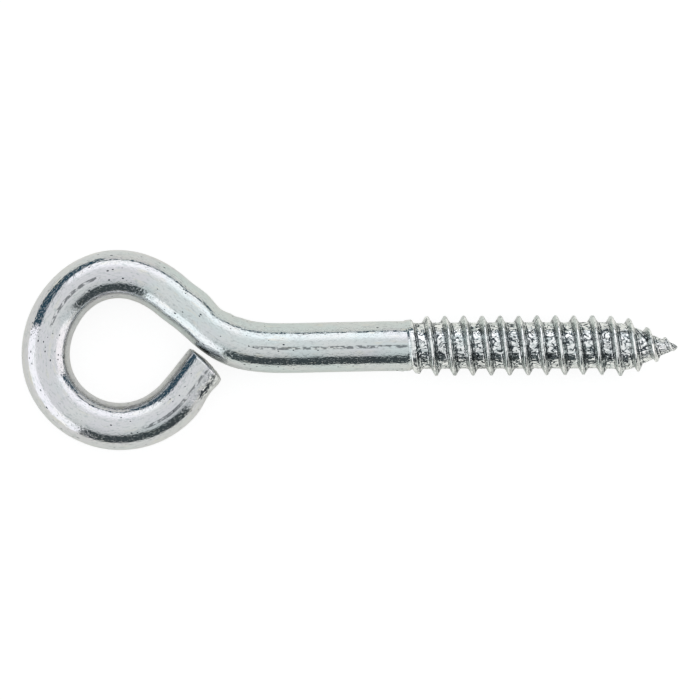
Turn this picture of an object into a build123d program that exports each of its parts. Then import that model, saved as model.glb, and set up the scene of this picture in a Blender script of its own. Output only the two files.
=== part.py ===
"""Lag-thread eye bolt: one steel wire bent into an eye, with a rolled wood-screw thread and a point.

The part lies flat. The eye and the shank share the XY plane, the origin is the centre of the eye on
the line of the shank, +X runs along the shank to the point and +Z is up. The wire is modelled as the
regions that the maker works one after another: the bent eye with its cut tail, the neck that brings
the wire back to the centre line, the plain shank, the rolled thread and the point. Each region is a
solid of its own that meets the next one face to face.
"""

import os
from math import atan, cos, degrees, radians, sin, tan

from build123d import *

# Wire and eye, in millimetres and degrees
wire_diameter = 7.65
eye_inside_diameter = 15.7
neck_angle = 47.5  # where the neck leaves the eye, measured from +X
tail_angle = -39.0  # where the straight tail begins
tail_gap = 0.45  # the eye is not welded: its tail stops this far from the neck
cut_edge_radius = 0.3
neck_bend_radius = 14.5

# Length, from the centre of the eye to the tip of the point, and the part of it that is rolled
reach = 85.3
rolled_length = 43.0

# Thread: rolling sinks the root below the wire and throws the crest up above it
turns_per_inch = 9
inch = 25.4
root_depth = 0.3
crest_rise = 0.84
crest_width = 0.33
flank_angle = 29.0  # from the plane across the axis, about the 60 degree wood-screw form

# Run-out at the shank, measured from where the rolled length begins
ridge_offset = 1.05
taper_offset = 1.7
taper_length = 1.0
full_thread_offset = 5.2
ridge_start_height = 0.08  # above the wire

# Point
cone_slope = 0.43
tip_radius = 0.28
tip_length = 0.15  # the blunt end
cone_ridge_stop = 1.7  # the ridge stops this far short of the tip
knee_from_tip = 1.9
knee_height = 0.52  # of the ridge above the cone, at the knee
fade_from_tip = 0.3
fade_height = 0.1

pitch = inch / turns_per_inch
wire_radius = wire_diameter / 2
core_radius = wire_radius - root_depth
crest_radius = wire_radius + crest_rise
ridge_height = crest_radius - core_radius
eye_inside_radius = eye_inside_diameter / 2
ring_radius = eye_inside_radius + wire_radius

# Stations along the axis
tip = reach
thread_begin = tip - rolled_length
ridge_begin = thread_begin + ridge_offset
wire_end = thread_begin + taper_offset
core_begin = wire_end + taper_length
ridge_full = thread_begin + full_thread_offset
cone_begin = tip - tip_length - (core_radius - tip_radius) / cone_slope
cone_ridge_end = tip - cone_ridge_stop


def at_angle(distance, angle):
    """The point at this distance from the origin, at this angle in the XY plane."""
    return Vector(distance, 0, 0).rotate(Axis.Z, angle)


def cone_radius(from_tip):
    """The radius of the core's cone at this distance from the tip."""
    return tip_radius + cone_slope * (from_tip - tip_length)


# Eye: the ring runs anticlockwise from the neck round to the tail, which then turns off straight
# towards the neck and stops just short of it.
neck_start = at_angle(ring_radius, neck_angle)
tail_start = at_angle(ring_radius, tail_angle)
tail_direction = at_angle(1, tail_angle + 90)
lean = radians(tail_angle + 90 - neck_angle)
tail_length = (eye_inside_radius * (1 - sin(lean)) - tail_gap) / cos(lean)
ring_sweep = 360 + tail_angle - neck_angle

with BuildPart() as eye:
    with BuildSketch(Plane(origin=neck_start, z_dir=at_angle(1, neck_angle + 90))):
        Circle(wire_radius)
    revolve(axis=Axis.Z, revolution_arc=ring_sweep)
    with BuildSketch(Plane(origin=tail_start, z_dir=tail_direction)):
        Circle(wire_radius)
    extrude(amount=tail_length)
    tail_end = tail_start + tail_direction * tail_length
    cut_edge = eye.edges().filter_by(GeomType.CIRCLE).sort_by_distance(tail_end)[0]
    fillet(cut_edge, radius=cut_edge_radius)

# Neck: straight off the ring, then one bend the other way that ends on the centre line.
neck_turn = 90 - neck_angle
neck_direction = at_angle(1, -neck_turn)
bend_drop = neck_bend_radius * (1 - cos(radians(neck_turn)))
neck_straight = (neck_start.Y - bend_drop) / sin(radians(neck_turn))
bend_start = neck_start + neck_direction * neck_straight
bend_centre = bend_start + at_angle(neck_bend_radius, neck_angle)
shank_begin = bend_centre.X

with BuildPart() as neck:
    with BuildSketch(Plane(origin=neck_start, z_dir=neck_direction)):
        Circle(wire_radius)
    extrude(amount=neck_straight)
    with BuildSketch(Plane(origin=bend_start, z_dir=neck_direction)):
        Circle(wire_radius)
    revolve(axis=Axis(bend_centre, (0, 0, 1)), revolution_arc=neck_turn)

# Shank: plain wire.
with BuildPart() as shank:
    with BuildSketch(Plane.YZ.offset(shank_begin)):
        Circle(wire_radius)
    extrude(amount=thread_begin - shank_begin)

# Ridge of the thread: a trapezoid carried along a right-handed helix on the core, first at full
# diameter and then down the cone of the point. Its base lies a little inside the core.
base_depth = root_depth
base_width = crest_width + 2 * (ridge_height + base_depth) * tan(radians(flank_angle))
cone_angle = degrees(atan(cone_slope))


def ridge_section(path):
    """The ridge's trapezoid, standing on the start of a helix round the X axis."""
    foot = path @ 0
    outward = Vector(0, foot.Y, foot.Z).normalized()
    across = Plane(origin=foot, x_dir=(1, 0, 0), z_dir=Vector(1, 0, 0).cross(outward))
    with BuildSketch(across, mode=Mode.PRIVATE) as section:
        with BuildLine():
            Polyline(
                (-base_width / 2, -base_depth),
                (base_width / 2, -base_depth),
                (crest_width / 2, ridge_height),
                (-crest_width / 2, ridge_height),
                close=True,
            )
        make_face()
    return section.sketch


# A helix along X starts above the axis, so the first one is turned to start underneath and the
# second one to start where the first one ends.
straight_helix = Rot(X=180) * Helix(
    pitch,
    cone_begin - ridge_begin,
    core_radius,
    center=(ridge_begin, 0, 0),
    direction=(1, 0, 0),
)
thread_turn = 180 + 360 * (cone_begin - ridge_begin) / pitch
cone_helix = Rot(X=thread_turn) * Helix(
    pitch / cos(radians(cone_angle)),
    cone_ridge_end - cone_begin,
    core_radius,
    center=(cone_begin, 0, 0),
    direction=(1, 0, 0),
    cone_angle=-cone_angle,
)

# The ridge rises out of the wire over the first turns and sinks again towards the tip, so the rings
# outside these two slopes are turned away. Both slopes run out to a radius beyond the whole bar.
beyond = crest_radius + 1.5
ridge_start_radius = wire_radius + ridge_start_height
rise = (crest_radius - ridge_start_radius) / (ridge_full - ridge_begin)
rise_end = ridge_begin + (beyond - ridge_start_radius) / rise

fall_full = cone_begin - 1.0
fall_knee = tip - knee_from_tip
knee_radius = cone_radius(knee_from_tip) + knee_height
fall = (crest_radius - knee_radius) / (fall_knee - fall_full)
fall_begin = fall_full - (beyond - crest_radius) / fall
fade_radius = cone_radius(fade_from_tip) + fade_height

# The seams of the turned faces are kept clear of the ends of the ridge.
turning_plane = Plane.XY.rotated((37, 0, 0))

with BuildPart() as threaded_end:
    with BuildSketch(turning_plane):
        with BuildLine():
            Polyline(
                (thread_begin, 0),
                (thread_begin, wire_radius),
                (wire_end, wire_radius),
                (core_begin, core_radius),
                (cone_begin, core_radius),
                (tip - tip_length, tip_radius),
                (tip, 0),
                close=True,
            )
        make_face()
    revolve(axis=Axis.X)
    sweep(sections=ridge_section(straight_helix), path=straight_helix, is_frenet=True)
    sweep(sections=ridge_section(cone_helix), path=cone_helix, is_frenet=True)
    with BuildSketch(turning_plane):
        with BuildLine():
            Polyline(
                (thread_begin - 1, ridge_start_radius),
                (ridge_begin, ridge_start_radius),
                (rise_end, beyond),
                (thread_begin - 1, beyond),
                close=True,
            )
        make_face()
        with BuildLine():
            Polyline(
                (fall_begin, beyond),
                (fall_knee, knee_radius),
                (tip - fade_from_tip, fade_radius),
                (tip + 1, fade_radius),
                (tip + 1, beyond),
                close=True,
            )
        make_face()
    revolve(axis=Axis.X, mode=Mode.SUBTRACT)

# Thread and point: the two halves of the rolled end, parted where the cone begins.
with BuildPart() as thread:
    add(threaded_end.part)
    split(bisect_by=Plane.YZ.offset(cone_begin), keep=Keep.BOTTOM)

with BuildPart() as point:
    add(threaded_end.part)
    split(bisect_by=Plane.YZ.offset(cone_begin), keep=Keep.TOP)

os.makedirs("parts", exist_ok=True)
for region, label in (
    (eye, "eye"),
    (neck, "neck"),
    (shank, "shank"),
    (thread, "thread"),
    (point, "point"),
):
    region.part.label = label
    export_step(region.part, f"parts/{label}.step")
    print(label, "solids", len(region.part.solids()), "volume", round(region.part.volume, 1))
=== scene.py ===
# %% [markdown]
# # A zinc-plated eye bolt, dressed in Blender
# The real part is one length of drawn steel wire. A machine bends its end into an open eye, rolls a coarse
# wood thread on the other end, and the finished part is barrel plated with bright zinc. The CAD model holds
# its true size, so this script opens that model first and takes every place from it.

from math import cos, pi, radians, sin, tan

import bpy
import numpy as np
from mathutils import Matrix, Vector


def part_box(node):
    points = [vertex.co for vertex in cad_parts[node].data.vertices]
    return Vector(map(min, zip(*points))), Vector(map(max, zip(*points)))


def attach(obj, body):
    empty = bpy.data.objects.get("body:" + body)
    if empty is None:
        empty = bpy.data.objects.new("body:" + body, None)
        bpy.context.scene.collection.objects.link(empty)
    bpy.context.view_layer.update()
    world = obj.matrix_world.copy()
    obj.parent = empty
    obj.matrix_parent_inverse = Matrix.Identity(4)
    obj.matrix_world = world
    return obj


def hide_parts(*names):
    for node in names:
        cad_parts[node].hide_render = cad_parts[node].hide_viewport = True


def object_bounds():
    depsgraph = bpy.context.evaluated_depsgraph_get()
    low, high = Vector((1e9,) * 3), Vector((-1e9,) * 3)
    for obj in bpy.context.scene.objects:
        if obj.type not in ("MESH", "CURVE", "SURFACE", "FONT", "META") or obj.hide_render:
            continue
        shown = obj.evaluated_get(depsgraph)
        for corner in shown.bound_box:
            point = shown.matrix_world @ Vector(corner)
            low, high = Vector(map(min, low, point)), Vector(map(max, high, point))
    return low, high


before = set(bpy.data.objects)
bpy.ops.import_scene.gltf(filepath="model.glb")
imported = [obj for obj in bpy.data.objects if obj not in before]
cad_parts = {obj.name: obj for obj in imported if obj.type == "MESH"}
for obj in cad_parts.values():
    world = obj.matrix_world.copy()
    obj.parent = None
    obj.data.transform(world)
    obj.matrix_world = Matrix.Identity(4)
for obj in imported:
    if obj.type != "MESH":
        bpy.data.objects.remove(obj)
cad_lo, cad_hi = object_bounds()
print("CAD nodes:", sorted(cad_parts))

# %% [markdown]
# ## Sizes
# Shapes are worked out in millimetres and turned into metres at the very end. The boxes of the CAD nodes
# give the wire's thickness, the eye, and the stations along the shank where one region ends and the next
# begins.

# %% Read the sizes from the CAD nodes
MM = 0.001


def node_box(name):
    """Lowest and highest corner of a CAD node, in millimetres."""
    lo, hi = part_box(name)
    return np.array(lo) / MM, np.array(hi) / MM


eye_lo, _ = node_box("eye")
shank_lo, shank_hi = node_box("shank")
thread_lo, thread_hi = node_box("thread")
point_lo, point_hi = node_box("point")
wire_radius = (shank_hi[2] - shank_lo[2]) / 2
ring_radius = -eye_lo[0] - wire_radius
crest_radius = (thread_hi[1] - thread_lo[1]) / 2
shank_begin = shank_lo[0]
thread_begin = thread_lo[0]
cone_begin = point_lo[0]
tip = point_hi[0]
print("wire radius", round(wire_radius, 3), "ring radius", round(ring_radius, 3), "tip", round(tip, 2))

# %% [markdown]
# ## The line of the wire
# The bolt could be put together from a torus, a bent tube and a turned bar, but then each join would show
# as a crease in the bright plating. On the real part there is no join. So the whole wire is one line, from
# the cut end round the eye, down the neck and along the shank to the point, and one skin is wrapped round
# that line. A place on the line is its distance from the cut end.

# %% Stations along the wire
neck_angle = 47.5  # degrees, where the neck leaves the eye, as the bending tool leaves it
tail_angle = -39.0  # degrees, where the tail turns off straight
tail_gap = 0.45
neck_turn = radians(90 - neck_angle)

eye_inside_radius = ring_radius - wire_radius
lean = radians(tail_angle + 90 - neck_angle)
tail_length = (eye_inside_radius * (1 - sin(lean)) - tail_gap) / cos(lean)
ring_length = ring_radius * radians(360 + tail_angle - neck_angle)

neck_x = ring_radius * cos(radians(neck_angle))
neck_y = ring_radius * sin(radians(neck_angle))
corner_x = neck_x + neck_y / tan(neck_turn)
bend_radius = (shank_begin - corner_x) / tan(neck_turn / 2)
neck_straight = neck_y / sin(neck_turn) - (shank_begin - corner_x)

ring_station = tail_length
neck_station = ring_station + ring_length
bend_station = neck_station + neck_straight
shank_station = bend_station + bend_radius * neck_turn
thread_station = shank_station + thread_begin - shank_begin
cone_station = shank_station + cone_begin - shank_begin
tip_station = shank_station + tip - shank_begin
print("wire length", round(tip_station, 2), "mm, neck bend radius", round(bend_radius, 2), "mm")


# %% The centre line and its sideways direction
def centre_line(station):
    """Place (x, y) and heading of the wire's centre at each station."""
    ring_end = radians(tail_angle)
    turned = ring_end - (station - ring_station) / ring_radius
    tail_heading = ring_end - pi / 2
    back = station - ring_station
    tail_x = ring_radius * cos(ring_end) + back * cos(tail_heading)
    tail_y = ring_radius * sin(ring_end) + back * sin(tail_heading)
    along = station - neck_station
    straight_x = neck_x + along * cos(neck_turn)
    straight_y = neck_y - along * sin(neck_turn)
    bend = neck_turn - (station - bend_station) / bend_radius
    bend_x = shank_begin - bend_radius * np.sin(bend)
    bend_y = bend_radius * (1 - np.cos(bend))
    shank_x = shank_begin + station - shank_station
    zero = np.zeros_like(station)
    where = [
        station < ring_station,
        station < neck_station,
        station < bend_station,
        station < shank_station,
    ]
    x = np.select(where, [tail_x, ring_radius * np.cos(turned), straight_x, bend_x], shank_x)
    y = np.select(where, [tail_y, ring_radius * np.sin(turned), straight_y, bend_y], zero)
    heading = np.select(where, [zero + tail_heading, turned - pi / 2, zero - neck_turn, -bend], zero)
    return x, y, heading


# %% [markdown]
# ## Tools for the skin
# The skin's radius changes along the wire and round it. Three small tools shape it: a smooth rise between
# two stations, a soft dent, and a seeded patchy noise that closes on itself round the wire, so that no seam
# shows.

# %% Rise, dent and noise
round_count = 216  # points round the wire


def rise(value, start, end):
    """0 before start, 1 after end and a smooth step between them."""
    share = np.clip((value - start) / (end - start), 0, 1)
    return share * share * (3 - 2 * share)


def dent(station, psi, place, length, facing, spread):
    """A soft bump of height 1 at one place of the wire, facing one way round it (degrees)."""
    turn = (np.degrees(psi) - facing + 180) % 360 - 180
    return np.exp(-(((station - place) / length) ** 2)) * np.exp(-((turn / spread) ** 2))


def patchy(along, psi, cells_round, seed):
    """Smooth noise from -1 to 1. One cell is one unit of along, and a whole number of cells go round."""
    around = psi / (2 * pi) * cells_round
    along, around = np.broadcast_arrays(along, around)
    table = np.random.default_rng(seed).uniform(-1, 1, (int(along.max() - along.min()) + 3, cells_round))
    i = np.floor(along).astype(int)
    j = np.floor(around).astype(int)
    u = rise(along - i, 0, 1)
    v = rise(around - j, 0, 1)
    i = i - i.min()
    near, far = j % cells_round, (j + 1) % cells_round
    low = table[i, near] * (1 - v) + table[i, far] * v
    high = table[i + 1, near] * (1 - v) + table[i + 1, far] * v
    return low * (1 - u) + high * u


def soft_max(a, b, blend):
    """The larger of two heights, with the corner between them filled by a fillet."""
    share = np.clip(0.5 + 0.5 * (a - b) / blend, 0, 1)
    return a * share + b * (1 - share) + blend * share * (1 - share)


# %% [markdown]
# ## The bent wire
# Bending thins the wire where it is stretched round the eye, and the tool that sets the neck leaves a flat
# on its outer side. The sheared tail is a little squashed, with a lip at its outer corner. These marks are
# real shape and not bump, because they change the outline.


# %% Radius of the plain and bent wire
ring_thinning = 0.11
outer_thinning = 0.05  # more on the outer side of the ring, which is stretched, and less on the inner side
tail_squash = 0.36
outer_squash = 0.14
all_round = 400  # degrees, a spread so wide that the dent goes right round the wire

dents = (
    # depth, station, length, facing, spread
    (0.1, neck_station + 1, 5, 0, all_round),
    (0.09, ring_station + 11, 12, 0, all_round),
    (0.55, bend_station, 2.3, 0, 70),
    (0.14, bend_station + 3.4, 0.9, 0, 60),
    (0.16, bend_station, 4.5, 180, 60),
    (0.38, 4.1, 1.7, -10, 50),
)


def bent_wire(station, psi):
    """Radius of the skin from the cut end to the thread's first station."""
    on_ring = rise(station, ring_station - 4, ring_station + 2)
    on_ring = on_ring * (1 - rise(station, neck_station, neck_station + 9))
    radius = wire_radius - on_ring * (ring_thinning + outer_thinning * np.cos(psi))
    for depth, place, length, facing, spread in dents:
        radius = radius - depth * dent(station, psi, place, length, facing, spread)
    tail = 1 - rise(station, 0, ring_station + 3)
    radius = radius - tail * (tail_squash + outer_squash * np.cos(psi))
    crushed = dent(station, psi, 1.6, 3.2, 18, 40)
    radius = radius - crushed * (0.05 + 0.09 * patchy(station / 0.7, psi, 26, 5))
    waves = 0.012 * patchy(station / 2.5, psi, 9, 3) + 0.004 * patchy(station / 0.9, psi, 30, 4)
    return radius + waves


# %% [markdown]
# ## The rolled thread
# A wood thread is rolled between flat dies. The dies sink the root below the wire and throw the ridge up
# above it. The ridge is a wedge with a rounded crest that follows a right-handed helix, so its height at
# any place depends only on how far along the wire the nearest turn of the crest is. Rolling wood threads is
# rough work: the roots are left with chatter marks, the flanks with folds that follow the helix.

# %% Ridge of the thread
inch = 25.4
turns_per_inch = 9
pitch = inch / turns_per_inch
root_depth = 0.3
core_radius = wire_radius - root_depth
ridge_height = crest_radius - core_radius
ridge_begin = thread_begin + 1.05
crest_half_width = 0.12
flank_angle = radians(29)
shoulder_begin = thread_begin + 1.7
shoulder_end = thread_begin + 2.4
ridge_full = thread_begin + 5.2
tip_radius = 0.28
tip_length = 0.15  # the blunt end
cone_slope = (core_radius - tip_radius) / (tip - tip_length - cone_begin)
first_crest_turn = 0.75  # the ridge starts underneath

crest_reach = (
    # station along the shank, highest radius that the crest reaches there
    (ridge_begin - 1, wire_radius - 0.3),
    (ridge_begin, wire_radius + 0.08),
    (ridge_full, crest_radius),
    (cone_begin, crest_radius - 0.1),
    (tip - 4.8, 3.25),
    (tip - 1.9, 1.6),
    (tip - 0.3, 0.5),
    (tip, 0.25),
)
print("pitch", round(pitch, 3), "mm, core radius", round(core_radius, 3), "mm")


def core_at(x, psi):
    """Radius of the core under the ridge: wire, shoulder, straight root, then the cone of the point."""
    ragged = 0.1 * patchy(x * 0 + 1, psi, 14, 21)
    wire = wire_radius - root_depth * rise(x + ragged, shoulder_begin, shoulder_end)
    cone = tip_radius + cone_slope * (tip - tip_length - x)
    return np.minimum(wire, np.maximum(cone, tip_radius))


def envelope_at(x):
    """Highest radius that the crest reaches: it grows out of the wire and fades down the point."""
    stations, radii = zip(*crest_reach)
    return np.interp(x, stations, radii)


def from_crest(x, psi):
    """Distance along the wire to the nearest turn of the crest, in millimetres, and the turn's number."""
    turns = (x - ridge_begin) / pitch - psi / (2 * pi) + first_crest_turn
    nearest = np.round(turns)
    return (turns - nearest) * pitch, nearest + psi / (2 * pi)


# %% [markdown]
# The marks that rolling leaves come next. Chatter crosses the root, folds run along the flanks, and the
# crest is nicked where the dies meet. One deeper fold, the gash, cuts across the first turn of the cone,
# because there the dies run out of wire.


# %% Rolling marks
def chatter(x, psi):
    """Cross ripples in the root."""
    warp = 0.9 * patchy(x / 0.8, psi, 30, 31)
    fine = patchy(x / 0.34 + warp, psi, 92, 32)
    coarse = patchy(x / 0.6 + warp, psi, 44, 33)
    return 0.035 * fine + 0.04 * coarse


fold_grooves = (
    # distance beyond the crest, half width, depth, least share of the depth, side to which it wanders
    (0.46, 0.08, 0.1, 0.45, 1),
    (0.86, 0.07, 0.07, 0.0, -1),
    (-0.7, 0.08, 0.07, 0.3, -1),
)


def folds(away, wound, psi):
    """Grooves along the flanks, given as distance from the crest and as turns wound so far."""
    angle = wound * 2 * pi
    wander = 0.05 * patchy(angle * 1.6, psi * 0, 7, 41)
    broken = 0.5 + 0.5 * patchy(angle * 2.3, psi * 0, 5, 42)
    depth = 0 * away
    for distance, half_width, deepest, least, side in fold_grooves:
        off = away - distance - side * wander
        depth = depth + deepest * np.exp(-((off / half_width) ** 2)) * (least + (1 - least) * broken)
    return depth


gash_start = (tip - 6.3, radians(22))  # place along the shank and direction round it
gash_end = (tip - 4.7, radians(60))
gash_depth = 0.22
gash_half_width = 0.13
cone_at_gash = 2.6  # radius of the cone there


def gash(x, psi):
    """One fold across the first turn of the cone, from 1 in its middle to 0 beside it."""
    along = x - gash_start[0]
    around = ((psi - gash_start[1] + pi) % (2 * pi) - pi) * cone_at_gash
    run = gash_end[0] - gash_start[0]
    turn = (gash_end[1] - gash_start[1]) * cone_at_gash
    share = np.clip((along * run + around * turn) / (run**2 + turn**2), 0, 1)
    off = np.hypot(along - share * run, around - share * turn)
    return np.exp(-((off / gash_half_width) ** 2))


# %% [markdown]
# The rolled end puts these together. The ridge is laid on the core with a fillet between them and nicked
# along its crest, then the folds and the gash are cut into it, and the very tip is rounded off.

# %% Radius of the rolled end
tip_rounding = 0.35
crest_fillet = 0.13
root_fillet = 0.34
fillet_loss = 0.2  # the root is sharper on the cone
least_reach = 0.15

crest_nicks = (
    # depth, how many in one turn, seed
    (0.07, 16, 52),
    (0.03, 55, 53),
)


def threaded(station, psi):
    """Radius of the skin from the thread's first station to the tip."""
    x = station - shank_station + shank_begin
    away, wound = from_crest(x, psi)
    core = core_at(x, psi)
    envelope = np.maximum(envelope_at(x), least_reach)
    uneven = 0.05 * patchy(wound * 11, psi * 0, 5, 51)
    slope_down = np.maximum(np.abs(away + uneven) - crest_half_width, 0) / tan(flank_angle)
    wedge = core_radius + ridge_height - slope_down
    on_cone = rise(x, cone_begin - 0.5, cone_begin + 0.6)
    wedge = np.where(on_cone > 0, envelope - slope_down, wedge)
    ridge = -soft_max(-wedge, -envelope, crest_fillet)
    for depth, count, seed in crest_nicks:
        ridge = ridge - depth * np.maximum(patchy(wound * count, psi * 0, 5, seed), 0)
    in_root = rise(np.abs(away), 0.4, 0.8) * rise(x, shoulder_begin - 0.2, shoulder_end)
    fading = 1 - rise(x, tip - 0.8, tip - 0.2)
    core = core + in_root * fading * chatter(x, psi)
    radius = soft_max(core, ridge, root_fillet - fillet_loss * on_cone)
    radius = radius - folds(away, wound, psi) * rise(x, ridge_begin + 1, ridge_full) * fading
    radius = radius - gash_depth * gash(x, psi)
    end = np.sqrt(np.clip(1 - ((x - tip + tip_rounding) / tip_rounding) ** 2, 0, 1))
    return np.where(x > tip - tip_rounding, radius * end, radius)


# %% [markdown]
# ## The skin
# Rows of points go round the wire, closer together where there is more detail. Each region gets its own
# object, just as it has its own CAD node, and the row where two regions meet belongs to both. The tail was
# cut on a shear, so its face leans a little and its edge is rounded.

# %% Rows of the five regions
psi = np.linspace(0, 2 * pi, round_count, endpoint=False)[None, :]
cut_dome = 0.42
cut_rounding = 0.34
wall_begin = cut_dome + cut_rounding
tip_gap = 0.002  # the last row stops this far short of the tip, and a fan closes it

regions = {
    "eye": (wall_begin, neck_station, 300),
    "neck": (neck_station, shank_station, 88),
    "shank": (shank_station, thread_station, 96),
    "thread": (thread_station, cone_station, 410),
    "point": (cone_station, tip_station - tip_gap, 150),
}


def wall_rows():
    """Every wall row's station, and the first and last row of each region."""
    rows, spans = [wall_begin], {}
    for name, (start, end, count) in regions.items():
        first = len(rows) - 1
        rows.extend(np.linspace(start, end, count)[1:])
        spans[name] = (first, len(rows) - 1)
    return np.array(rows)[:, None], spans


wall_station, spans = wall_rows()
first_rolled = spans["thread"][0]
rolled_station = wall_station[first_rolled:]
wall_radius = bent_wire(wall_station, psi)
taking_over = rise(rolled_station, thread_station, thread_station + 0.5)
wall_radius[first_rolled:] *= 1 - taking_over
wall_radius[first_rolled:] += taking_over * threaded(rolled_station, psi)
print("wall rows", len(wall_station), "points", wall_radius.size)

# %% [markdown]
# The cut end is made from extra rows in front of the wall: a slightly domed face of growing rings, torn a
# little by the shear, and then a quarter round that turns the corner into the wall.


# %% Cut end
def cut_end_rows():
    """Share of the wall's radius and distance from the cut, for each row that closes the tail."""
    rows = [(share, cut_dome * share * share) for share in (0.01, 0.15, 0.3, 0.45, 0.6, 0.75, 0.85)]
    edge = cut_rounding / wire_radius
    for step in range(6):
        turn = step / 6 * pi / 2
        rows.append((1 - edge + edge * sin(turn), cut_dome + cut_rounding * (1 - cos(turn))))
    return np.array(rows)


closing = cut_end_rows()
cut_share, cut_depth = closing[:, :1], closing[:, 1:]
torn = 0.05 * patchy(cut_share * 9, psi, 12, 61) * (1 - rise(cut_share, 0.8, 0.95))
station = np.concatenate([cut_depth + torn, wall_station + 0 * psi])
share = np.concatenate([cut_share + 0 * psi, np.ones_like(wall_radius)])
radius = np.concatenate([cut_share * wall_radius[:1], wall_radius])
closing_rows = len(closing)
spans = {name: (first + closing_rows, last + closing_rows) for name, (first, last) in spans.items()}
spans["eye"] = (0, spans["eye"][1])

# %% [markdown]
# The skin is now wrapped round the centre line. The shear leaves its face leaning back on the outer side.
# A bent eye is never quite round and a rolled shank is never quite straight, so the line is moved sideways
# by a fraction of a millimetre: three slow waves round the eye, one bow along the shank, a small one where
# the neck's bend ends, and a slight drop towards the point, where the dies pushed the wire off its line.

# %% Wrap the skin round the line
cut_shift = 0.08
cut_lean = 0.11
shank_bow = 0.18
bend_bow = 0.13
point_drop = 0.36
eye_waves = (
    # height, how many go round the eye, degrees
    (0.15, 1, 81),
    (0.15, 3, 37),
    (0.08, 4, -39),
)

side = radius * np.cos(psi)
sheared = station + (1 - rise(station, 0, 5)) * (cut_shift + cut_lean * side)
bow = shank_bow * rise(station, shank_station - 2, shank_station + 18)
bow = bow * (1 - rise(station, thread_station, tip_station))
bow = bow + bend_bow * np.exp(-(((station - shank_station + 1.6) / 2.4) ** 2))
bow = bow - point_drop * rise(station, tip_station - 13, tip_station - 5)
round_eye = radians(tail_angle) - (station - ring_station) / ring_radius
out_of_round = 0 * round_eye
for height, count, angle in eye_waves:
    out_of_round = out_of_round + height * np.cos(count * round_eye + radians(angle))
bow = bow + out_of_round * rise(station, 1, 7) * (1 - rise(station, neck_station + 1, bend_station))
line_x, line_y, heading = centre_line(sheared)
skin_x = line_x - (side + bow) * np.sin(heading)
skin_y = line_y + (side + bow) * np.cos(heading)
skin = np.stack([skin_x, skin_y, radius * np.sin(psi)], axis=-1)
print("skin from", skin.min(axis=(0, 1)).round(2), "to", skin.max(axis=(0, 1)).round(2), "mm")

# %% [markdown]
# ## Smooth shading across the regions
# Bright plating shows every break in a surface's direction, so the direction is worked out once on the
# whole skin and handed to the five objects as custom normals. The reflection then runs on from one region
# into the next.


# %% Normals of the whole skin
def skin_normals():
    """Outward direction of the skin at every point, from its neighbours round and along the wire."""
    step_round = np.roll(skin, -1, axis=1) - np.roll(skin, 1, axis=1)
    step_along = np.empty_like(skin)
    step_along[1:-1] = skin[2:] - skin[:-2]
    step_along[0] = skin[1] - skin[0]
    step_along[-1] = skin[-1] - skin[-2]
    normals = np.cross(step_round, step_along)
    return normals / np.linalg.norm(normals, axis=-1, keepdims=True)


normals = skin_normals()
print("directions worked out for", normals[..., 0].size, "points")

# %% [markdown]
# ## Places for the finish to follow
# The plating's marks run along the wire, so the material needs to know where each point would be if the
# wire were pulled out straight. That place is stored on every point. So is the place across the thread, as
# the cosine and sine of the turn between one crest and the next: they join up in the middle of the root,
# where a plain distance would jump. Two more values say where the surface is torn: the roots, the first
# turn, the last of the point and the crumpled side of the tail are rough, and the gash and the torn lip of
# the tail get painted shade, drawn dark as the shade in their creases.

# %% Straightened place, and place across the thread
place = np.stack(
    [station, share * wire_radius * np.cos(psi), share * wire_radius * np.sin(psi)],
    axis=-1,
)
along_shank = station - shank_station + shank_begin
away, _ = from_crest(along_shank, psi)
phase = away / pitch * 2 * pi
in_thread = rise(along_shank, shoulder_begin - 0.3, shoulder_end + 0.8)
thread_phases = np.stack([np.cos(phase), np.sin(phase), in_thread + 0 * psi], axis=-1)

# %% Rough places, and painted shade in the cuts
root = rise(np.abs(away), 0.45, 0.75) * in_thread
first_turn = rise(along_shank, thread_begin + 2.3, thread_begin + 2.7)
first_turn = first_turn * (1 - rise(along_shank, thread_begin + 4.3, thread_begin + 5.4))
scaly_tip = rise(along_shank, tip - 3.3, tip - 2.6)
crumple = dent(station, psi, 3.4, 1.9, 47, 17) + 0.7 * dent(station, psi, 1.2, 0.7, 50, 30)
rough = np.clip(root + first_turn + scaly_tip + crumple, 0, 1)
# The torn lip and the gash get painted shade: their creases are drawn dark.
torn_lip_shade = dent(station, psi, 3.7, 1.7, 47, 10) * (0.75 + 0.9 * patchy(station / 0.3, psi, 80, 71))
cut_shade = np.maximum(gash(along_shank, psi), torn_lip_shade)
print("rough share of the skin", round(float(rough.mean()), 2))

# %% [markdown]
# ## Building the objects
# One function turns a span of rows into a closed mesh: the wall, and a flat cap where the region meets its
# neighbour. The unwrapped map is the wall laid out flat, with the two caps as small discs above it.


# %% Mesh of one region
def wall_and_caps(first, last):
    """Faces as point indices, wall first. The two centre points of the caps come after the wall's points."""
    count = last - first
    row, turn = np.meshgrid(np.arange(count), np.arange(round_count), indexing="ij")
    here = row * round_count + turn
    beside = row * round_count + (turn + 1) % round_count
    quads = np.stack([here, beside, beside + round_count, here + round_count], axis=-1).reshape(-1, 4)
    edge = np.arange(round_count)
    beyond = (edge + 1) % round_count
    start_centre = (count + 1) * round_count
    end_row = count * round_count
    start_cap = np.stack([edge * 0 + start_centre, beyond, edge], axis=-1)
    end_cap = np.stack([edge * 0 + start_centre + 1, end_row + edge, end_row + beyond], axis=-1)
    return quads, start_cap, end_cap


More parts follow.
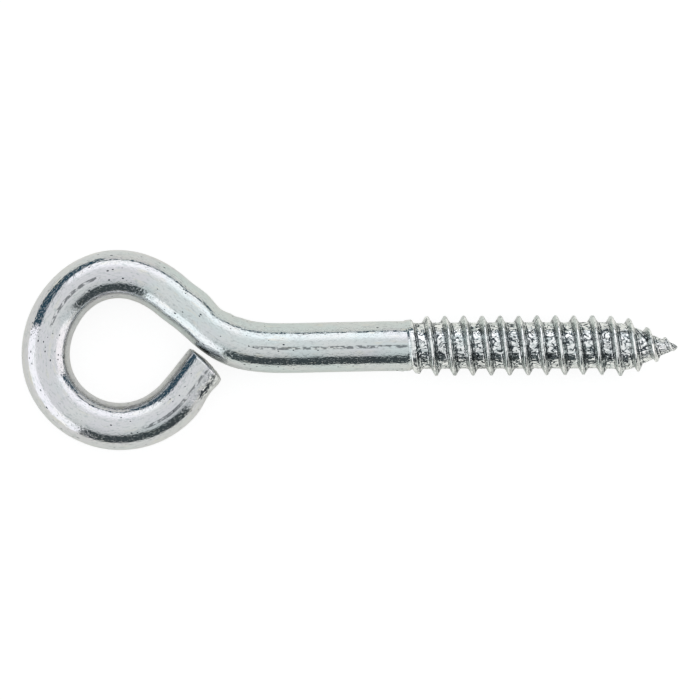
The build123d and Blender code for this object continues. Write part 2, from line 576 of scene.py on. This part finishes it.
def map_places(quads, count):
    """Flat map of the wall and caps, one place per face corner."""
    margin, wall_width, wall_height = 0.01, 0.98, 0.86
    cap_row, cap_radius, cap_middles = 0.94, 0.05, (0.08, 0.24)
    row, turn = quads // round_count, quads % round_count
    turn[:, 1:3] = np.where(turn[:, 1:3] == 0, round_count, turn[:, 1:3])
    wall = [margin + wall_width * row / count, margin + wall_height * turn / round_count]
    wall = np.stack(wall, axis=-1).reshape(-1, 2)
    around = np.arange(round_count) / round_count * 2 * pi
    caps = []
    for middle in cap_middles:
        rim = np.stack([cap_radius * np.cos(around), cap_radius * np.sin(around)], axis=-1)
        rim = rim + (middle, cap_row)
        following = np.roll(rim, -1, axis=0)
        centre = np.full_like(rim, cap_row)
        centre[:, 0] = middle
        is_start = middle == cap_middles[0]
        order = (centre, following, rim) if is_start else (centre, rim, following)
        caps.append(np.stack(order, axis=1).reshape(-1, 2))
    return np.concatenate([wall, *caps])


def cap_directions(first, last):
    """Outward directions of the two flat caps, from three points of each end row."""
    second, third = 1, 60
    flat = []
    for row in (first, last):
        direction = np.cross(skin[row, second] - skin[row, 0], skin[row, third] - skin[row, 0])
        flat.append(direction / np.linalg.norm(direction))
    return -flat[0], flat[1]


def store(mesh, name, kind, values):
    """Stores a value (FLOAT) or a place (FLOAT_VECTOR) on every point of the mesh."""
    field = "value" if kind == "FLOAT" else "vector"
    mesh.attributes.new(name, kind, "POINT").data.foreach_set(field, values.ravel())


def build_region(name):
    """The closed mesh of one region, with its normals, its map and the places for the finish."""
    first, last = spans[name]
    quads, start_cap, end_cap = wall_and_caps(first, last)
    rows = slice(first, last + 1)
    ends = np.stack([skin[first].mean(axis=0), skin[last].mean(axis=0)])
    points = np.concatenate([skin[rows].reshape(-1, 3), ends]) * MM
    mesh = bpy.data.meshes.new(name)
    mesh.from_pydata(points.tolist(), [], quads.tolist() + start_cap.tolist() + end_cap.tolist())

    start_direction, end_direction = cap_directions(first, last)
    corner_normals = np.concatenate(
        [
            normals[rows].reshape(-1, 3)[quads].reshape(-1, 3),
            np.tile(start_direction, (start_cap.size, 1)),
            np.tile(end_direction, (end_cap.size, 1)),
        ]
    )
    mesh.shade_smooth()
    mesh.normals_split_custom_set(corner_normals.tolist())

    layer = mesh.uv_layers.new(name="OFBake")
    layer.data.foreach_set("uv", map_places(quads, last - first).ravel())
    end_places = np.array([[station[row].mean(), 0, 0] for row in (first, last)])
    places = np.concatenate([place[rows].reshape(-1, 3), end_places])
    phases = np.concatenate([thread_phases[rows].reshape(-1, 3), np.zeros((2, 3))])
    store(mesh, "wire_place", "FLOAT_VECTOR", places)
    store(mesh, "rough", "FLOAT", np.concatenate([rough[rows].ravel(), [0, 0]]))
    store(mesh, "cut_shade", "FLOAT", np.concatenate([cut_shade[rows].ravel(), [0, 0]]))
    store(mesh, "thread_phase", "FLOAT_VECTOR", phases)
    made = bpy.data.objects.new(name + "_wire", mesh)
    bpy.context.scene.collection.objects.link(made)
    print(name, "faces", len(mesh.polygons))
    return made


pieces = {name: build_region(name) for name in regions}

# %% [markdown]
# ## Bright zinc
# Zinc plate is a metal finish: nearly all of its look is what it reflects. Its own share is a pale grey with
# faint blue, lilac and straw tints from the passivation, fine lines left by wire drawing, a soft mottle
# where the deposit is uneven, and dark specks where it bridged a pit. All of this is worked out from the
# straightened place, so the lines bend with the eye.


# %% Node helpers
def add_node(tree, kind, inputs=None, **settings):
    """Adds a node, sets its options, and fills its inputs with values or with other nodes' outputs."""
    made = tree.nodes.new(kind)
    for option, value in settings.items():
        setattr(made, option, value)
    for socket, value in (inputs or {}).items():
        if isinstance(value, bpy.types.NodeSocket):
            tree.links.new(value, made.inputs[socket])
        else:
            made.inputs[socket].default_value = value
    return made


def maths(tree, operation, *values):
    """One sum on values or on other nodes' outputs."""
    made = add_node(tree, "ShaderNodeMath", dict(enumerate(values)), operation=operation)
    return made.outputs[0]


def ramp(tree, value, start, end, low=0.0, high=1.0):
    """Smooth change from low to high while value goes from start to end."""
    inputs = {"Value": value, "From Min": start, "From Max": end, "To Min": low, "To Max": high}
    made = add_node(tree, "ShaderNodeMapRange", inputs, interpolation_type="SMOOTHSTEP")
    return made.outputs[0]


def tint(tree, share, first, second):
    """Colour mix of two colours, or of a colour and another node's colour."""
    made = add_node(tree, "ShaderNodeMix", data_type="RGBA")
    for socket, value in ((made.inputs[0], share), (made.inputs[6], first), (made.inputs[7], second)):
        if isinstance(value, bpy.types.NodeSocket):
            tree.links.new(value, socket)
        else:
            socket.default_value = value
    return made.outputs[2]


# %% Zinc plate: start, and the straightened place
zinc = bpy.data.materials.new("zinc_plate")
zinc.use_nodes = True
zinc_tree = zinc.node_tree
zinc_tree.nodes.clear()
zinc_output = add_node(zinc_tree, "ShaderNodeOutputMaterial")
zinc_shader = add_node(zinc_tree, "ShaderNodeBsdfPrincipled", {"Metallic": 1.0})
zinc_tree.links.new(zinc_shader.outputs[0], zinc_output.inputs[0])
wire_place = add_node(zinc_tree, "ShaderNodeAttribute", attribute_name="wire_place").outputs["Vector"]
rough_at = add_node(zinc_tree, "ShaderNodeAttribute", attribute_name="rough").outputs["Fac"]
# The last value says where shade is painted into the gash and the torn lip of the tail.
cut_shade_at = add_node(zinc_tree, "ShaderNodeAttribute", attribute_name="cut_shade").outputs["Fac"]


def zinc_noise(scale, stretch=1.0, detail=2.0, shift=0.0):
    """Noise on the straightened wire. Stretch draws it out along the wire, scale is cells per millimetre."""
    inputs = {0: wire_place, 1: (1 / stretch, 1, 1), 2: (shift, shift, shift)}
    moved = add_node(zinc_tree, "ShaderNodeVectorMath", inputs, operation="MULTIPLY_ADD").outputs[0]
    inputs = {"Vector": moved, "Scale": scale, "Detail": detail}
    return add_node(zinc_tree, "ShaderNodeTexNoise", inputs).outputs[0]


# %% [markdown]
# ### Colour of the plate
# Broad noises move the grey between lilac, blue-green, silver and straw, and small patches are duller. The
# eye leans to lilac and the shank to blue-green.

# %% Colour
silver = (0.655, 0.665, 0.665, 1)
lilac = (0.64, 0.635, 0.665, 1)
blue_green = (0.60, 0.66, 0.665, 1)
straw = (0.66, 0.655, 0.61, 1)
dull_grey = (0.50, 0.53, 0.54, 1)

broad = zinc_noise(0.22, stretch=2.5)
broad_two = zinc_noise(0.35, stretch=2.0, shift=40.0)
axes = add_node(zinc_tree, "ShaderNodeSeparateXYZ", {0: wire_place})
towards_shank = ramp(zinc_tree, axes.outputs[0], neck_station - 8, bend_station, 0.12, -0.12)
straw_streaks = zinc_noise(1.4, stretch=4, shift=9.0)
dull_patches = zinc_noise(3.4, stretch=2.5, shift=13.0)
lilac_share = ramp(zinc_tree, maths(zinc_tree, "ADD", broad, towards_shank), 0.38, 0.62)
plate = tint(zinc_tree, lilac_share, blue_green, lilac)
plate = tint(zinc_tree, ramp(zinc_tree, broad_two, 0.4, 0.75), plate, silver)
plate = tint(zinc_tree, ramp(zinc_tree, straw_streaks, 0.55, 0.8), plate, straw)
plate = tint(zinc_tree, ramp(zinc_tree, dull_patches, 0.5, 0.75), plate, dull_grey)

# %% [markdown]
# ### Specks
# A cell pattern gives each millimetre of wire a few possible specks. A second noise decides which of them
# are really there, so that they come in loose groups.

# %% Specks
speck_place = add_node(
    zinc_tree,
    "ShaderNodeVectorMath",
    {0: wire_place, 1: (0.6, 1, 1)},
    operation="MULTIPLY",
).outputs[0]
cells_per_mm = 2.2
cells = add_node(zinc_tree, "ShaderNodeTexVoronoi", {"Vector": speck_place, "Scale": cells_per_mm})
cell_share = add_node(zinc_tree, "ShaderNodeSeparateColor", {0: cells.outputs["Color"]}).outputs[0]
speck_size = ramp(zinc_tree, cell_share, 0.5, 1.0, 0.0, 0.28)
speck_group = ramp(zinc_tree, zinc_noise(0.6, stretch=2, shift=17.0), 0.36, 0.56, 0.25, 1.0)
speck_reach = maths(zinc_tree, "MULTIPLY", speck_size, speck_group)
inside = maths(zinc_tree, "SUBTRACT", speck_reach, cells.outputs["Distance"])
speck = ramp(zinc_tree, inside, 0.0, 0.05)
print("specks about", round(1 / cells_per_mm, 2), "mm apart")

# %% [markdown]
# ### Dark line along the top
# One faint broken dark line is drawn along the wire. It lies near the top as the bolt lies flat, and it
# fades out over parts of the eye and the neck.

# %% Dark line along the top
top_dark_line_runs = (
    # middle station, half length, degrees round the wire
    (ring_station + 0.5, 7.2, 79),
    (ring_station + radians(188) * ring_radius, 6.0, 93),
    (shank_station + 9.5, 13.0, 91),
)
facing = maths(zinc_tree, "ARCTAN2", axes.outputs[2], axes.outputs[1])
top_dark_line = 0.0
for middle, half_length, angle in top_dark_line_runs:
    off_line = maths(zinc_tree, "ABSOLUTE", maths(zinc_tree, "SUBTRACT", facing, radians(angle)))
    wavy = maths(zinc_tree, "MULTIPLY", zinc_noise(1.6, stretch=2, shift=angle), 0.05)
    off_line = maths(zinc_tree, "ABSOLUTE", maths(zinc_tree, "SUBTRACT", off_line, wavy))
    narrow = ramp(zinc_tree, off_line, 0.02, 0.055, 1.0, 0.0)
    off_middle = maths(zinc_tree, "ABSOLUTE", maths(zinc_tree, "SUBTRACT", axes.outputs[0], middle))
    here = ramp(zinc_tree, off_middle, half_length * 0.85, half_length, 1.0, 0.0)
    top_dark_line = maths(zinc_tree, "MAXIMUM", top_dark_line, maths(zinc_tree, "MULTIPLY", narrow, here))
broken = ramp(zinc_tree, zinc_noise(2.6, stretch=2.2, shift=5.0), 0.38, 0.55)
top_dark_line = maths(zinc_tree, "MULTIPLY", top_dark_line, broken)
print("die line runs", len(top_dark_line_runs))

# %% [markdown]
# ### Tears in the rough places
# The roots are covered with short curled tears. A contour line of a noise curls in the same way, so the
# tears are drawn where a noise passes its middle value. A second noise leaves some of them out. Far from
# the middle value the zinc is bare and bright, and that sets the tears off. The shoulder in front of the
# first root is bare in the same way.

# %% Tears with painted shade, and painted highlights
tear_inputs = {0: wire_place, 1: (0.75, 1, 1), 2: (11.0, 0, 0)}
tear_place = add_node(zinc_tree, "ShaderNodeVectorMath", tear_inputs, operation="MULTIPLY_ADD").outputs[0]
curl_inputs = {"Vector": tear_place, "Scale": 1.25, "Detail": 0.4, "Distortion": 1.2}
curls = add_node(zinc_tree, "ShaderNodeTexNoise", curl_inputs).outputs[0]
off_contour = maths(zinc_tree, "ABSOLUTE", maths(zinc_tree, "SUBTRACT", curls, 0.5))
tear_groups = ramp(zinc_tree, zinc_noise(1.3, shift=91.0), 0.44, 0.52, 0.1, 1.0)
tears_and_shade = maths(zinc_tree, "MULTIPLY", ramp(zinc_tree, off_contour, 0.05, 0.08, 1.0, 0.0), tear_groups)
rough_tears_and_shade = maths(zinc_tree, "MULTIPLY", tears_and_shade, rough_at)

into_thread = maths(zinc_tree, "SUBTRACT", axes.outputs[0], thread_station + 2.5)
# Painted highlight: near-white zinc on the shoulder and between the tears.
shoulder_highlight = ramp(zinc_tree, maths(zinc_tree, "ABSOLUTE", into_thread), 0.16, 0.34, 0.9, 0.0)
painted_highlight = maths(zinc_tree, "MULTIPLY", ramp(zinc_tree, off_contour, 0.075, 0.115), rough_at)
painted_highlight = maths(zinc_tree, "MAXIMUM", painted_highlight, shoulder_highlight)
print("nodes so far", len(zinc_tree.nodes))

# %% [markdown]
# ### Painted shade in the folds along the thread
# A fold is a line along the helix at a fixed distance from the crest, so the painted shade in it can be
# drawn from the place across the thread. Each line wanders a little and is broken up by a noise of its own.

# %% Painted shade of the fold lines
thread_phase = add_node(zinc_tree, "ShaderNodeAttribute", attribute_name="thread_phase").outputs["Vector"]
phase_axes = add_node(zinc_tree, "ShaderNodeSeparateXYZ", {0: thread_phase})
in_thread_at = phase_axes.outputs[2]
phase_at = maths(zinc_tree, "ARCTAN2", phase_axes.outputs[1], phase_axes.outputs[0])
wander = maths(zinc_tree, "SUBTRACT", zinc_noise(1.8, detail=1, shift=83.0), 0.5)
away_at = maths(zinc_tree, "MULTIPLY", phase_at, pitch / (2 * pi))
away_at = maths(zinc_tree, "MULTIPLY_ADD", wander, 0.16, away_at)

fold_shade_runs = (
    # distance beyond the crest, half width, scale and shift of the noise that breaks it, strength
    (0.5, 0.1, 1.3, 95.0, 1.0),
    (0.88, 0.09, 2.0, 99.0, 0.95),
    (0.2, 0.05, 1.7, 97.0, 0.5),
    (-0.62, 0.08, 1.6, 101.0, 0.8),
)
fold_shade = 0.0
for distance, half_width, broken_scale, shift, strength in fold_shade_runs:
    off = maths(zinc_tree, "ABSOLUTE", maths(zinc_tree, "SUBTRACT", away_at, distance))
    narrow = ramp(zinc_tree, off, half_width * 0.8, half_width * 1.3, strength, 0.0)
    gaps = ramp(zinc_tree, zinc_noise(broken_scale, detail=1, shift=shift), 0.38, 0.48)
    fold_shade = maths(zinc_tree, "MAXIMUM", fold_shade, maths(zinc_tree, "MULTIPLY", narrow, gaps))
fold_shade = maths(zinc_tree, "MULTIPLY", fold_shade, in_thread_at)
print("fold lines beside each crest", len(fold_shade_runs))

# %% [markdown]
# ### Painted light on the flanks and crests
# On the upper side of the wire as it lies, both flanks get a painted highlight, and the one that faces the
# eye gets painted shade with a green tint and is made a little rougher. The crests get a painted highlight
# in places, and they keep some grit. The crests are
# worn bright in places by the barrel in which the bolts are plated, and they keep some grit.

# %% Painted light on flanks and crests, and all thread marks with painted shade
# Painted light: the flanks' painted highlight and painted shade go only on the upper side of the wire as it
# lies.
upward = ramp(zinc_tree, axes.outputs[2], 0.3, 2.4)
upward_in_thread = maths(zinc_tree, "MULTIPLY", in_thread_at, upward)
on_flanks = ramp(zinc_tree, maths(zinc_tree, "ABSOLUTE", away_at), 0.5, 0.7, 1.0, 0.0)
flank_highlight = maths(zinc_tree, "MULTIPLY", on_flanks, upward_in_thread)
from_foot = ramp(zinc_tree, away_at, -0.66, -0.5)
to_crest = ramp(zinc_tree, away_at, -0.14, -0.04, 1.0, 0.0)
dull_shaded_flank = maths(zinc_tree, "MULTIPLY", from_foot, to_crest)
dull_shaded_flank = maths(zinc_tree, "MULTIPLY", dull_shaded_flank, upward_in_thread)

off_crest = maths(zinc_tree, "ABSOLUTE", maths(zinc_tree, "SUBTRACT", away_at, 0.05))
on_crest = maths(zinc_tree, "MULTIPLY", ramp(zinc_tree, off_crest, 0.08, 0.17, 1.0, 0.0), in_thread_at)
crest_highlight_places = ramp(zinc_tree, zinc_noise(0.9, detail=1, shift=103.0), 0.42, 0.62)
crest_highlight = maths(zinc_tree, "MULTIPLY", on_crest, crest_highlight_places)

grit = maths(zinc_tree, "MULTIPLY", maths(zinc_tree, "MULTIPLY", tears_and_shade, 0.4), in_thread_at)
thread_marks_and_shade = maths(zinc_tree, "MAXIMUM", rough_tears_and_shade, fold_shade)
thread_marks_and_shade = maths(zinc_tree, "MAXIMUM", thread_marks_and_shade, grit)
thread_marks_and_shade = maths(zinc_tree, "MAXIMUM", thread_marks_and_shade, ramp(zinc_tree, cut_shade_at, 0.2, 0.45))
print("nodes so far", len(zinc_tree.nodes))

# %% [markdown]
# ### Putting the colour together
# The roots and the other rough places take a dull grey that is partly residue and partly painted shade, the
# flanks and crests take their painted highlights and painted shade, the painted highlight of near-white zinc
# goes on, and every mark and every painted shade darkens the plate.

# %% Colour with its marks, painted shade and painted highlights
# Painted light: the flank and crest whites and the near-white zinc are painted highlights, the flank green
# is painted shade, and the residue grey is partly residue and partly painted shade.
residue_and_shade_grey = (0.36, 0.38, 0.37, 1)
flank_highlight_white = (0.95, 0.95, 0.94, 1)
flank_shade_green = (0.28, 0.38, 0.35, 1)
crest_highlight_white = (0.95, 0.91, 0.92, 1)
highlight_zinc = (0.86, 0.87, 0.87, 1)
mark_and_shade_black = (0.03, 0.04, 0.05, 1)

residue_and_root_shade = maths(zinc_tree, "MULTIPLY", ramp(zinc_tree, zinc_noise(2.6), 0.45, 0.7), rough_at)
for share_at, strength, colour in (
    (residue_and_root_shade, 0.25, residue_and_shade_grey),
    (flank_highlight, 0.6, flank_highlight_white),
    (dull_shaded_flank, 0.35, flank_shade_green),
    (crest_highlight, 0.5, crest_highlight_white),
    (painted_highlight, 1.0, highlight_zinc),
):
    plate = tint(zinc_tree, maths(zinc_tree, "MULTIPLY", share_at, strength), plate, colour)
# Specks and grit are dark marks of their own; the folds and the cuts are painted shade, the tears partly so.
marks_and_shade = maths(zinc_tree, "MAXIMUM", speck, maths(zinc_tree, "MULTIPLY", top_dark_line, 0.7))
marks_and_shade = maths(zinc_tree, "MAXIMUM", marks_and_shade, maths(zinc_tree, "MULTIPLY", thread_marks_and_shade, 0.97))
plate = tint(zinc_tree, marks_and_shade, plate, mark_and_shade_black)
zinc_tree.links.new(plate, zinc_shader.inputs["Base Color"])
print("colour nodes", len(zinc_tree.nodes))

# %% [markdown]
# ### Gloss and relief
# The marks, the painted shade and the dull flank scatter the light more. The relief is in thousandths of a
# millimetre: the mottle and the grain roughen the edges of reflections, the draw lines pull them out along
# the wire, and the pits and sparks put light specks into the dark ones.

# %% Gloss
dullness = ramp(zinc_tree, zinc_noise(0.8, stretch=2.5, shift=21.0), 0.3, 0.75, 0.03, 0.08)
dullness = maths(zinc_tree, "ADD", dullness, maths(zinc_tree, "MULTIPLY", marks_and_shade, 0.25))
dullness = maths(zinc_tree, "ADD", dullness, maths(zinc_tree, "MULTIPLY", dull_shaded_flank, 0.15))
zinc_tree.links.new(dullness, zinc_shader.inputs["Roughness"])

# %% Relief
MICRON = 1e-6
draw_lines = zinc_noise(3.0, stretch=10, detail=1)
mottle = zinc_noise(1.5, stretch=3.0, detail=0, shift=3.0)
grain = zinc_noise(3.6, stretch=1.5, detail=0, shift=31.0)
pits = ramp(zinc_tree, zinc_noise(3.4, stretch=1.5, detail=1, shift=57.0), 0.56, 0.68)
sparks = ramp(zinc_tree, zinc_noise(4.6, stretch=1.2, detail=0, shift=67.0), 0.62, 0.70)
layers = (
    (mottle, 9 * MICRON),
    (grain, 9 * MICRON),
    (draw_lines, 3 * MICRON),
    (pits, -9 * MICRON),
    (sparks, -5 * MICRON),
    (marks_and_shade, -8 * MICRON),
)
relief = None
for height, distance in layers:
    inputs = {"Height": height, "Distance": distance, "Strength": 1.0}
    if relief:
        inputs["Normal"] = relief
    relief = add_node(zinc_tree, "ShaderNodeBump", inputs).outputs[0]
zinc_tree.links.new(relief, zinc_shader.inputs["Normal"])
print("zinc plate nodes", len(zinc_tree.nodes))

# %% [markdown]
# ## Handing the pieces over
# Each piece rides on the part's one body, takes the zinc plate material, and stands for its own CAD node.

# %% Attach the pieces
for name, piece in pieces.items():
    piece.data.materials.append(zinc)
    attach(piece, "root")
    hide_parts(name)
print("attached", sorted(pieces))

# %% [markdown]
# ## The table
# The bolt lies on a pale table at the height of the CAD model's lowest point.

# %% Table
table_half = 1.5  # metres
corners = [(x * table_half, y * table_half, cad_lo.z) for x, y in ((-1, -1), (1, -1), (1, 1), (-1, 1))]
mesh = bpy.data.meshes.new("table")
mesh.from_pydata(corners, [], [(0, 1, 2, 3)])
table = bpy.data.objects.new("table", mesh)
bpy.context.scene.collection.objects.link(table)
print("table", 2 * table_half, "m wide")

# %% [markdown]
# A light table is lit from below as well, so the eye sees its glow more than the lamps' light on it. The
# plating mirrors a warmer table that takes the full shadow, and plain paper sends soft light to the rest.
# Each of the three kinds of ray gets a shader of its own.

# %% Paper of the table
seen_strength = 0.87
mirrored_strength = 0.1

paper = bpy.data.materials.new("pale_table")
paper.use_nodes = True
tree = paper.node_tree
tree.nodes.clear()
rays = add_node(tree, "ShaderNodeLightPath").outputs
plain_paper = add_node(tree, "ShaderNodeBsdfDiffuse", {"Color": (0.8, 0.79, 0.77, 1)})
pale_paper = add_node(tree, "ShaderNodeBsdfDiffuse", {"Color": (0.2, 0.2, 0.2, 1)})
warm_paper = add_node(tree, "ShaderNodeBsdfDiffuse", {"Color": (0.91, 0.905, 0.85, 1)})
seen_glow = add_node(tree, "ShaderNodeEmission", {"Color": (1, 1, 1, 1), "Strength": seen_strength})
glow_inputs = {"Color": (0.99, 0.985, 0.93, 1), "Strength": mirrored_strength}
mirrored_glow = add_node(tree, "ShaderNodeEmission", glow_inputs)
mirrored = maths(tree, "MAXIMUM", rays["Is Glossy Ray"], rays["Is Transmission Ray"])
seen = add_node(tree, "ShaderNodeAddShader", {0: pale_paper.outputs[0], 1: seen_glow.outputs[0]})
in_metal = add_node(tree, "ShaderNodeAddShader", {0: warm_paper.outputs[0], 1: mirrored_glow.outputs[0]})
seen_inputs = {0: rays["Is Camera Ray"], 1: plain_paper.outputs[0], 2: seen.outputs[0]}
for_eye = add_node(tree, "ShaderNodeMixShader", seen_inputs)
for_all = add_node(tree, "ShaderNodeMixShader", {0: mirrored, 1: for_eye.outputs[0], 2: in_metal.outputs[0]})
add_node(tree, "ShaderNodeOutputMaterial", {0: for_all.outputs[0]})
table.data.materials.append(paper)
print("paper nodes", len(tree.nodes))

# %% [markdown]
# ## The studio
# Bright metal looks like whatever stands round it. A product studio puts a large soft light overhead, white
# panels near the table on most sides, and a few dark cards that give the metal its contrast. Area lamps
# could stand for the panels, but drawing the panels on the sky is simpler and has no noise. A direction is
# given by its compass angle, counted from +X towards +Y, and by how far it is tilted down from overhead.

# %% Sky directions
world = bpy.data.worlds.new("studio")
bpy.context.scene.world = world
world.use_nodes = True
sky = world.node_tree
sky.nodes.clear()
direction = add_node(sky, "ShaderNodeTexCoord").outputs["Generated"]
towards = add_node(sky, "ShaderNodeSeparateXYZ", {0: direction}).outputs
compass = maths(sky, "DEGREES", maths(sky, "ARCTAN2", towards[1], towards[0]))
tilt = maths(sky, "DEGREES", maths(sky, "ARCCOSINE", towards[2]))


def card(colour, below, compass_middle, compass_half, low, high, edges, slope):
    """Lays one panel or card over the sky below it.

    The card reaches from tilt low to tilt high. Edges gives how soft its sides, its upper edge and its
    lower edge are, and slope tips the upper edge, in degrees of tilt for each degree of compass.
    """
    turned = maths(sky, "SUBTRACT", compass, compass_middle)
    turned = maths(sky, "WRAP", turned, 180.0, -180.0)
    side_edge, upper_edge, lower_edge = edges
    off_side = maths(sky, "ABSOLUTE", turned)
    across = ramp(sky, off_side, compass_half - side_edge, compass_half + side_edge, 1.0, 0.0)
    top = maths(sky, "MULTIPLY_ADD", turned, slope, low)
    down_from_top = maths(sky, "SUBTRACT", tilt, top)
    upper = ramp(sky, down_from_top, -upper_edge, upper_edge)
    lower = ramp(sky, tilt, high - lower_edge, high + lower_edge, 1.0, 0.0)
    share = maths(sky, "MULTIPLY", across, maths(sky, "MULTIPLY", upper, lower))
    return tint(sky, share, below, colour)


# %% [markdown]
# ### Panels and cards
# White strips stand behind and at both ends, a dark card faces the front, and dark blue ones cover the
# left back corner, a thin strip behind, and the right back corner. Each one is laid over those before it.

# %% Panels and cards
overhead = (0.95, 0.97, 0.97, 1)
dim_front = (0.72, 0.75, 0.75, 1)
low_wall = (0.84, 0.84, 0.80, 1)
white_panel = (1.42, 1.43, 1.46, 1)
warm_panel = (1.42, 1.38, 1.37, 1)
dark_card = (0.065, 0.08, 0.085, 1)
blue_card = (0.04, 0.09, 0.125, 1)

cards = (
    # colour, compass middle and half, tilt low and high, edges, slope
    (dim_front, 281, 50, 26, 100, (15, 22, 1), 0.0),
    (low_wall, 0, 360, 74, 200, (1, 6, 1), 0.0),
    (white_panel, 74, 56, 40, 69, (4, 12, 1.5), 0.0),
    (white_panel, 202, 39, 51, 95, (1.5, 5, 2), 0.0),
    (warm_panel, 354, 25, 54, 95, (3, 6, 2), 0.0),
    (dark_card, 281, 38, 45, 87, (3, 5, 1.5), 0.0),
    (blue_card, 132, 31, 59, 96, (1.5, 3, 2), -0.48),
    (blue_card, 74, 28, 70, 77, (2, 1, 1), 0.0),
    (blue_card, 33, 14, 70, 87, (2, 2, 1), 0.8),
)
lit = overhead
for colour, middle, half, low, high, edges, slope in cards:
    lit = card(colour, lit, middle, half, low, high, edges, slope)
print("panels and cards", len(cards))

# %% [markdown]
# The camera sees a white room behind the table, and the light comes from the panels.

# %% Join the sky
rays = add_node(sky, "ShaderNodeLightPath").outputs
seen_colour = tint(sky, rays["Is Camera Ray"], lit, (1, 1, 1, 1))
background = add_node(sky, "ShaderNodeBackground", {"Color": seen_colour, "Strength": 1.0})
add_node(sky, "ShaderNodeOutputWorld", {0: background.outputs[0]})
print("studio nodes", len(sky.nodes))

# %% [markdown]
# ## The camera
# The camera looks straight down from over a metre away with a long lens, so the shape and the reflections
# stay true from the eye to the point. It is turned by half a degree, as the bolt did not lie quite square.

# %% Camera
view_width = 107.3 * MM
view_centre = (35.1 * MM, -0.35 * MM)
lens = 400
sensor = 36
camera_turn = radians(-0.55)

camera_data = bpy.data.cameras.new("camera")
camera_data.lens = lens
camera_data.sensor_width = sensor
camera = bpy.data.objects.new("camera", camera_data)
camera.location = (*view_centre, view_width * lens / sensor)
camera.rotation_euler = (0, 0, camera_turn)
camera_data.clip_start = 0.01
camera_data.clip_end = 20
bpy.context.scene.collection.objects.link(camera)
bpy.context.scene.camera = camera
bpy.context.scene.view_settings.view_transform = "Standard"
print("camera", round(camera.location.z / MM), "mm above the bolt")

# %% [markdown]
# ## The CAD box
# The dressed model has to stay inside the CAD model's box, so that box is written down.

# %% Write down the CAD box
print("CAD box", [round(v / MM, 2) for v in (*cad_lo, *cad_hi)])
